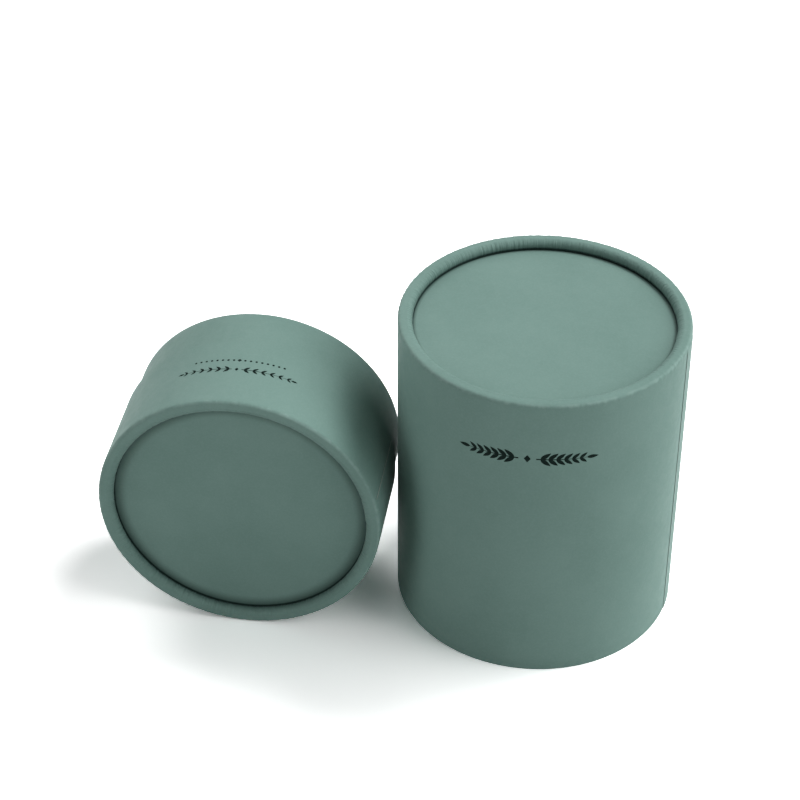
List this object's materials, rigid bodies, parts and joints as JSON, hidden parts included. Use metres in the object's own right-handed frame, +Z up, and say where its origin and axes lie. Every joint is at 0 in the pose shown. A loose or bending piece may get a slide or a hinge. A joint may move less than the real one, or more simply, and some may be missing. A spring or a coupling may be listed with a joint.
{
  "type": "round gift tube box",
  "caption": "Round gift tube box of wound board in sage paper, with curled rims over recessed discs: tall lid off and upright, short necked base on its side, foam insert.",
  "frame": {"origin": "on the floor, in the middle of the open pair", "axes": "+X from the base to the lid, +Y the way the base's neck points, +Z up"},
  "size_m": [0.1724, 0.086, 0.1014],
  "materials": {
    "cover_paper": "matte soft-touch",
    "facing_paper": "matte soft-touch",
    "greyboard": "raw board",
    "lining_paper": "uncoated",
    "lining_card": "uncoated",
    "foam": "closed-cell foam",
    "insert_card": "matte"
  },
  "bodies": {
    "base": {"base_tube": "greyboard", "base_cover": "cover_paper", "base_disc": "greyboard", "base_facing": "facing_paper", "neck_tube": "greyboard", "neck_cover": "cover_paper", "neck_lining": "lining_paper", "base_floor": "lining_card"},
    "lid": {"lid_tube": "greyboard", "lid_cover": "cover_paper", "lid_disc": "greyboard", "lid_facing": "facing_paper", "lid_ring": "greyboard", "lid_lining": "lining_paper", "lid_ceiling": "lining_paper"},
    "insert": {"insert_foam": "foam", "insert_facing": "insert_card"}
  },
  "joints": [
    {"name": "lid_lift", "type": "slide", "parent": "base", "child": "lid", "axis": [0, 0, 1], "range_m": [0, 0.09]},
    {"name": "insert_slide", "type": "slide", "parent": "base", "child": "insert", "axis": [0, 1, 0], "range_m": [0, 0.045]}
  ]
}
